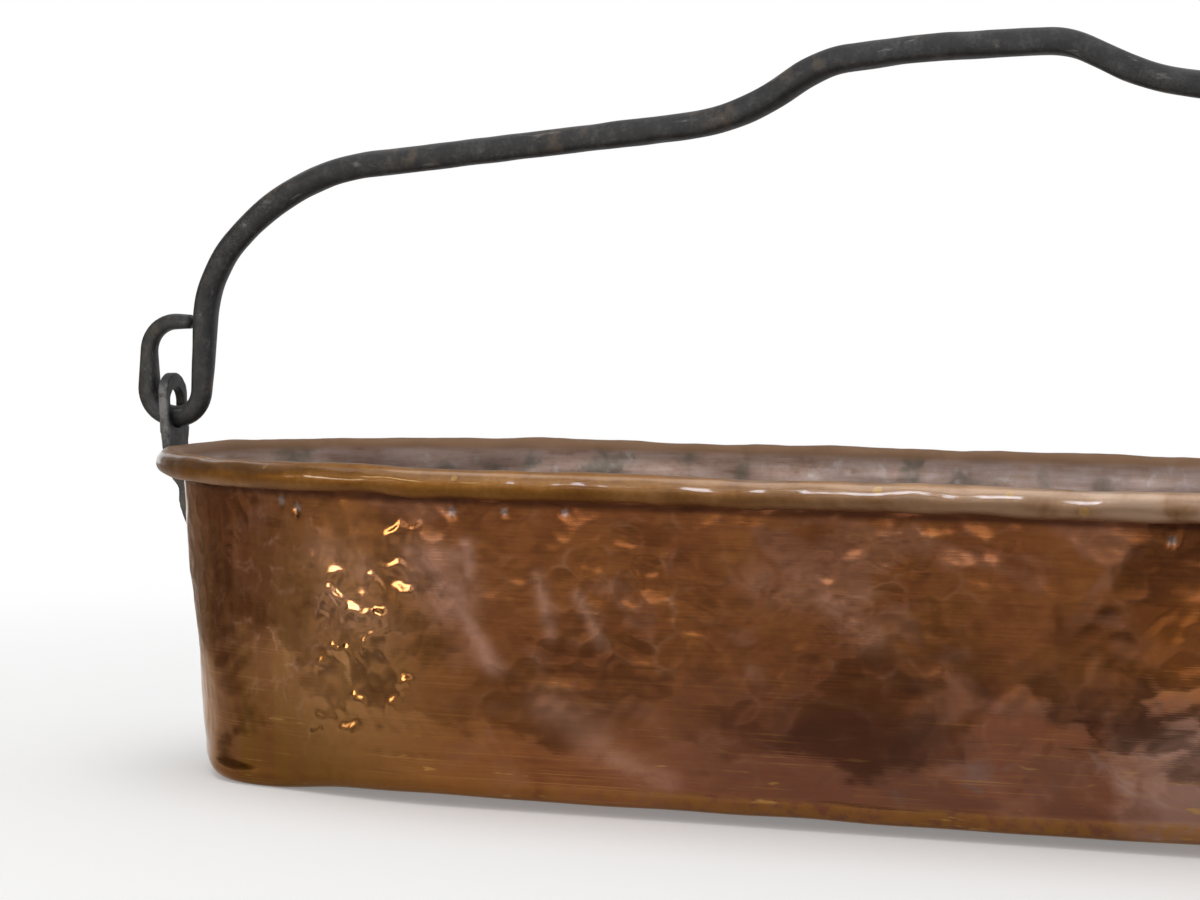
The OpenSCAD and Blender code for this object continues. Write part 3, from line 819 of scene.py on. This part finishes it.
def wall_lining(tin):
    """Tinned inside of the sheet: over the roll, down the wall and round the foot on to the flange."""
    arcs = ring_arcs(COLUMNS)
    arc_u, arc_z = foot_arc(FOOT_R - WALL_T, 7)
    top_u, top_z = BEAD_R * math.cos(CURL_FROM), BEAD_Z + BEAD_R * math.sin(CURL_FROM)
    share = np.linspace(0, 1, LINING_ROWS)[1:]
    u = np.concatenate([top_u + (arc_u[-1] - top_u) * share, arc_u[::-1][1:], [FOOT_U - FLANGE_W]])
    z = np.concatenate([top_z + (arc_z[-1] - top_z) * share, arc_z[::-1][1:], [WALL_T]])
    angle, roll_s = spread(np.linspace(TIN_FROM, CURL_FROM, 12), arcs)
    on_roll = on_rim(roll_s, angle, roll_radius(roll_s, angle))
    all_u, s = spread(u, arcs)
    all_z = spread(z, arcs)[0]
    out, up = settle(s, all_z)
    _, relief, dish, _ = hammered(s, all_z)
    points = np.concatenate([on_roll, place_on_kettle(s, all_u, all_z, out + relief, up)])
    bare = np.zeros_like(angle)
    make_piece("wall_lining", points, "kettle", "tinned_copper", tin, "kettle_wall",
               marks={"dish": np.concatenate([bare, dish]),
                      "seam": np.concatenate([bare, rise(9 - all_z, 0, 5)])})


def wire_in_rim():
    """Iron wire inside the rolled rim: a circle of the wire's size carried round the settled rim line."""
    angle, s = spread(np.linspace(0, 2 * math.pi, 13)[:-1], ring_arcs(WIRE_COLUMNS))
    make_piece("rim_wire_iron", on_rim(s, angle, WIRE_R), "kettle", "iron_wire",
               forged_iron("iron_of_wire", 0.8), "rim_wire", rings=(True, True))


SPINE_END = TIP_X - 30.0
BOTTOM_DEPTH = 0.5


def bottom_face(name, inset, lift, slot, material):
    """One face of the flat bottom: rings that shrink from the foot to the middle line by the inset's
    shares, lifted off the flange, with soft hammer marks, and sagging with the knocked foot corner."""
    arcs = ring_arcs(BOTTOM_COLUMNS)
    share, s = spread(inset, arcs)
    high = spread(lift, arcs)[0]
    point, away = rim_line(s)
    out, up = settle(s, np.zeros_like(s))
    foot = point + away * (FOOT_U - SOLDER + 0.9 * out)[..., None]
    spine = np.stack([np.clip(foot[..., 0], -SPINE_END, SPINE_END), np.zeros_like(share)], -1)
    flat = foot + (spine - foot) * share[..., None]
    dish, _ = hammer_marks(flat[..., 0] + HALF_LENGTH, flat[..., 1] + HALF_WIDTH, *BOTTOM_MARKS)
    z = WALL_T + SOLDER + high - BOTTOM_DEPTH * dish * np.clip(share * 5, 0, 1) + up * (1 - share) ** 3
    points = np.concatenate([flat, z[..., None]], -1) * MM
    make_piece(name, points, "kettle", slot, material, "kettle_bottom",
               marks={"dish": dish, "seam": hill(share, 0.035)})


def bottom_sheet(copper, tin):
    """Flat bottom: bare copper below and at its edge, tinned above."""
    rings = np.linspace(1, 0, BOTTOM_RINGS)
    bottom_face("bottom_underside", np.append(rings, 0), np.append(0 * rings, BOTTOM_T), "hammered_copper",
                copper)
    bottom_face("bottom_inside", rings[::-1], np.full(BOTTOM_RINGS, BOTTOM_T), "tinned_copper", tin)


# The bail's middle line: corners from the left hook's tip to the right hook's tip, about the hinge line
HINGE_Z = 152.3
HEEL_X = 362.0
LEG_X = 358.4
LIMB_X = 388.6
HOOK_H = 43.6
ARM_RUN = 45.4
BAIL_CORNERS = np.array([
    [-365.5, HOOK_H], [-LIMB_X, HOOK_H], [-LIMB_X, 0], [-HEEL_X, 0], [-LEG_X, 66.1],
    [ARM_RUN - LEG_X, 111.5], [-101.5, 134.5], [-63, 159], [-18, 164.7], [45, 167], [83.5, 149.6],
    [LEG_X - ARM_RUN, 129.5], [LEG_X, 84.1], [HEEL_X, 0], [LIMB_X, 0], [LIMB_X, HOOK_H], [366.0, HOOK_H]])
BAIL_BENDS = np.array([0, 14, 12.8, 12.8, 57, 107, 100, 58, 300, 40, 100, 107, 57, 12.8, 12.8, 14, 0])
HOOK_SIZES = [6.5, 7.5, 9.8, 9.8, 11.6]
BAIL_SIZES = np.array([*HOOK_SIZES, *[11.8] * 7, *HOOK_SIZES[::-1]])
BAIL_STEP = 1.6
TIP_ROUND = 1.5
FORGE_WAVES = 40
FORGE_UNEVEN = 0.0040
HOOK_REACH, HOOK_SOFT = 72.0, 16.0


def rounded_path(corners, bends, step):
    """Points along straight runs with a round bend at each corner, at even steps, how far along each lies,
    and the number of the corner it lies nearest."""
    ahead = unit(np.diff(corners, axis=0))
    points, weights = [corners[:1]], [np.zeros(1)]
    for i in range(1, len(corners) - 1):
        a, b = ahead[i - 1], ahead[i]
        turn = math.atan2(a[0] * b[1] - a[1] * b[0], a @ b)
        trim = bends[i] * math.tan(abs(turn) / 2)
        start = corners[i] - a * trim
        side = math.copysign(1, turn) * np.array([-a[1], a[0]])
        t = np.linspace(0, turn, max(4, int(abs(turn) * bends[i] / step) + 2))[:, None]
        points.append(start + bends[i] * (np.sin(np.abs(t)) * a + (1 - np.cos(t)) * side))
        weights.append(np.full(len(t), float(i)))
    points.append(corners[-1:])
    weights.append(np.full(1, float(len(corners) - 1)))
    line, weight = np.concatenate(points), np.concatenate(weights)
    run = np.concatenate([[0.0], np.cumsum(np.linalg.norm(np.diff(line, axis=0), axis=1))])
    even = np.linspace(0, run[-1], int(run[-1] / step) + 1)
    path = np.stack([np.interp(even, run, line[:, 0]), np.interp(even, run, line[:, 1])], -1)
    return path, even, np.interp(even, run, weight)


def iron_bail():
    """Bail: a round bar carried along its middle line, drawn thin into the hooks, rounded at its tips,
    with the flats and swellings of forging."""
    line, run, corner = rounded_path(BAIL_CORNERS, BAIL_BENDS, BAIL_STEP)
    ahead = unit(np.gradient(line, axis=0))
    radius = np.interp(corner, np.arange(len(BAIL_SIZES)), BAIL_SIZES) / 2
    end = np.minimum(run, run[-1] - run)
    radius = radius * np.sqrt(np.clip(1 - (1 - rise(end, 0, TIP_ROUND)) ** 2, 0.0004, 1))
    row, angle = spread(np.arange(len(line)), np.linspace(0, 2 * math.pi, 49)[:-1])
    along = run[row]
    rng = np.random.default_rng(41)
    uneven = np.zeros(row.shape)
    for _ in range(FORGE_WAVES):
        length, twist, phase = rng.uniform(12, 90), rng.integers(-3, 4), rng.uniform(0, 2 * math.pi)
        uneven += np.sin(2 * math.pi * along / length + twist * angle + phase)
    flats = 0.42 + 0.16 * np.sin(along / 61 + 1) * np.sin(along / 143)
    flats = flats * (1 - 0.8 * hill(end[row] - HOOK_REACH, HOOK_SOFT))
    turned = angle + 0.22 * np.sin(along / 97)
    square = (np.abs(np.cos(turned)) ** 5 + np.abs(np.sin(turned)) ** 5) ** -0.2
    thick = radius[row] * (1 + FORGE_UNEVEN * uneven) * (1 + flats * (square - 1.05))
    up = np.stack([-ahead[:, 1], ahead[:, 0]], -1)[row]
    x = line[row, 0] + thick * np.cos(angle) * up[..., 0]
    z = HINGE_Z + line[row, 1] + thick * np.cos(angle) * up[..., 1]
    points = np.stack([x, thick * np.sin(angle), z], -1) * MM
    make_piece("bail_iron", points, "bail", "forged_iron", forged_iron("iron_of_bail", 0.45), "bail")


def soften(node, voxel, passes, material):
    """Gives a node's solid a fine smooth skin with soft edges, and its finish."""
    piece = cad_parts[node]
    skin = piece.modifiers.new("skin", "REMESH")
    skin.mode, skin.voxel_size, skin.use_smooth_shade = "VOXEL", voxel * MM, True
    soft = piece.modifiers.new("soft", "SMOOTH")
    soft.factor, soft.iterations = 0.5, passes
    piece.data.materials.clear()
    piece.data.materials.append(material)
    return piece


def forge_ear(node, material):
    """Gives an ear's solid the soft edges and uneven skin of forging, and its finish."""
    ear = soften(node, 0.55, 5, material)
    lumps = bpy.data.textures.new(node + "_lumps", "CLOUDS")
    lumps.noise_scale, lumps.noise_depth = 7 * MM, 2
    uneven = ear.modifiers.new("uneven", "DISPLACE")
    uneven.texture, uneven.texture_coords = lumps, "LOCAL"
    uneven.strength, uneven.mid_level = 0.4 * MM, 0.5


# Camera of the photograph: place in millimetres, angles in radians, focal length in pixels of its width
CAMERA_PLACE = np.array([455.279, -1542.02, 243.506])
CAMERA_YAW, CAMERA_PITCH, CAMERA_ROLL = 0.382171, 0.060687, 0.00536
CAMERA_FOCUS = 3786.176
PHOTO_WIDTH = 1200
SENSOR_WIDTH = 36.0


def turned_to(right, up, back, place):
    """Matrix rows of an object with these three axes at a place."""
    matrix = np.eye(4)
    matrix[:3, 0], matrix[:3, 1], matrix[:3, 2], matrix[:3, 3] = right, up, back, place
    return matrix.T.tolist()


def photo_camera():
    """Camera that looks along the kettle's near side from the right, turned by its yaw, pitch and roll."""
    ahead = np.array([-math.sin(CAMERA_YAW) * math.cos(CAMERA_PITCH),
                      math.cos(CAMERA_YAW) * math.cos(CAMERA_PITCH), -math.sin(CAMERA_PITCH)])
    right = np.array([math.cos(CAMERA_YAW), math.sin(CAMERA_YAW), 0.0])
    up = np.cross(right, ahead)
    turned = math.cos(CAMERA_ROLL) * right + math.sin(CAMERA_ROLL) * up
    raised = -math.sin(CAMERA_ROLL) * right + math.cos(CAMERA_ROLL) * up
    data = bpy.data.cameras.new("photo_camera")
    data.sensor_width, data.sensor_fit = SENSOR_WIDTH, "HORIZONTAL"
    data.lens = CAMERA_FOCUS * SENSOR_WIDTH / PHOTO_WIDTH
    camera = linked("photo_camera", data)
    camera.matrix_world = turned_to(turned, raised, -ahead, CAMERA_PLACE * MM)
    bpy.context.scene.camera = camera


# Heights of the floor, under the sunk foot corner, and of the cards that lie on the table, in metres
FLOOR_Z = -4.4 * MM
TABLE_Z = 1.0 * MM


def lying(left, right, front, back, z=TABLE_Z):
    """Corners of a level card."""
    return [(left, front, z), (right, front, z), (right, back, z), (left, back, z)]


def standing(start, end, low, high):
    """Corners of an upright card between two places on the floor."""
    return [(*start, low), (*end, low), (*end, high), (*start, high)]


def flat_card(name, corners, material):
    """A flat card of the studio from its four corners in metres."""
    mesh = bpy.data.meshes.new(name)
    mesh.from_pydata(corners, [], [(0, 1, 2, 3)])
    mesh.materials.append(material)
    card = linked(name, mesh)
    return card


def seen_rays(start):
    """1 for rays that show the background: from the camera, off metal or through glass."""
    camera, glossy, through = [start.node("LightPath", out="Is " + kind + " Ray")
                               for kind in ("Camera", "Glossy", "Transmission")]
    return camera.most(glossy).most(through)


def white_floor():
    """Pale floor that keeps the shadow and is lifted to white where it is seen."""
    material = bpy.data.materials.new("floor_white")
    start = clean_tree(material)
    place = start.node("TexCoord", out="Object")
    far = place.node("VectorMath", {"operation": "LENGTH"}, {0: place}, out="Value").step(0.45, 1.1)
    seen = seen_rays(start)
    lift = start.node("Emission", (), {"Color": WHITE, "Strength": seen * 0.22})
    matt = start.node("BsdfDiffuse", (), {"Color": (0.86, 0.86, 0.86, 1.0)})
    near = start.node("AddShader", (), {0: matt, 1: lift})
    white = start.node("Emission", (), {"Color": WHITE, "Strength": 1.0})
    end_tree("OutputMaterial", start.node("MixShader", (), {0: far * seen, 1: near, 2: white}))
    flat_card("floor", lying(-4, 4, -3, 5, FLOOR_Z), material)


def white_world():
    """Even white surround: full white where it is seen, less as light."""
    world = bpy.data.worlds.new("white_room")
    bpy.context.scene.world = world
    start = clean_tree(world)
    strength = seen_rays(start) * 0.45 + 0.55
    end_tree("OutputWorld", start.node("Background", (), {"Color": WHITE, "Strength": strength}))


def room_card(name, corners, colour, patches, levels, fade=(5.0, 6.0)):
    """A card that only shows in the metal, as the dim uneven room in front of a studio table does:
    its brightness goes between two levels in patches, so many to a metre, and turns to white along x
    from the first of the fade's places to the second."""
    material = bpy.data.materials.new(name)
    start = clean_tree(material)
    place = start.node("TexCoord", out="Object")
    faded = place.axis(0).step(*fade)
    strength = place.grain(*patches).step(0.35, 0.65, *levels)
    tint = start.node("Mix", {"data_type": "RGBA"}, {0: faded, 6: (*colour, 1.0), 7: WHITE}, out=2)
    glow = start.node("Emission", (), {"Color": tint, "Strength": strength + faded * (1.0 - strength)})
    end_tree("OutputMaterial", glow)
    card = flat_card(name, corners, material)
    card.visible_camera = card.visible_diffuse = card.visible_shadow = card.visible_transmission = False


def softbox(name, place, target, width, height, brightness, colour=WHITE[:3]):
    """Area lamp at a place, facing a target, in metres; its power is pi times area times brightness."""
    data = bpy.data.lights.new(name, "AREA")
    data.shape, data.size, data.size_y = "RECTANGLE", width, height
    data.energy = math.pi * width * height * brightness
    data.color = colour
    lamp = linked(name, data)
    back = unit(np.array(place) - np.array(target))
    side = unit(np.cross([0, 0, 1.0], back))
    lamp.matrix_world = turned_to(side, np.cross(back, side), back, place)
    lamp.visible_camera = False


def studio():
    """White room with a dim table and room in front, which the copper mirrors, a low warm window that
    lights the near left shoulder, a broad lamp overhead and two strips that shine along the rim."""
    white_floor()
    white_world()
    table = (1.0, 0.94, 0.90)
    room_card("front_table", lying(-2.5, 0.02, -3.0, -0.165), table, (9.0, 2.0, 0.5), (0.30, 0.74))
    room_card("right_table", lying(0.02, 2.5, -3.0, -0.24), table, (12.0, 1.5, 0.5), (0.15, 0.45))
    room_card("left_table", lying(-2.5, -0.42, -0.165, 0.75), (1.0, 0.88, 0.78),
              (9.0, 2.0, 0.5), (0.18, 0.50), (-0.70, -0.43))
    room_card("front_room", standing((-2.5, -3.0), (2.5, -3.0), 0, 2.0), (1.0, 0.97, 0.95),
              (1.5, 1.0, 0.5), (0.12, 0.56))
    room_card("left_room", standing((-1.6, -3.0), (-1.6, 0.8), 0, 1.6), (1.0, 0.90, 0.82),
              (2.0, 1.0, 0.5), (0.08, 0.34))
    room_card("low_strip", standing((-1.3, -0.85), (0.35, -0.85), 0, 0.16), (1.0, 0.95, 0.92),
              (7.0, 1.0, 0.5), (0.15, 2.2))
    softbox("window", (-0.895, -0.787, 0.085), (-0.235, -0.10, 0.07), 0.40, 0.15, 8.5, (1.0, 0.90, 0.72))
    softbox("sky", (-0.3, -0.2, 1.7), (0.0, 0.0, 0.1), 1.8, 1.2, 1.4)
    room_card("rim_light", standing((-0.70, -1.61), (-0.48, -1.69), 0.58, 1.45), (0.80, 0.87, 1.0),
              (5.0, 1.0, 0.5), (8.0, 18.0))
    room_card("rim_glow", standing((-1.42, -1.40), (-1.08, -1.70), 0.62, 0.78), (1.0, 0.82, 0.48),
              (6.0, 1.0, 0.5), (5.0, 14.0))


photo_camera()
studio()
wall_copper = copper_of_wall()
wall_outside("wall_near", LEFT_TIP, wall_copper)
wall_outside("wall_far", RIGHT_TIP, wall_copper)
rim_roll()
tin_lining = tin_of_lining()
wall_lining(tin_lining)
wire_in_rim()
bottom_sheet(wall_copper, tin_lining)
iron_bail()
ear_iron = forged_iron("iron_of_ears", 0.35, 7.6)
rivet_copper = copper_of_rim("rivet_copper_head", 0.6)
for end in ("left", "right"):
    forge_ear(end + "_ear", ear_iron)
    for level in ("top", "middle", "bottom"):
        soften(end + "_rivet_" + level, 0.3, 3, rivet_copper)

bpy.context.scene.view_settings.view_transform = "Standard"
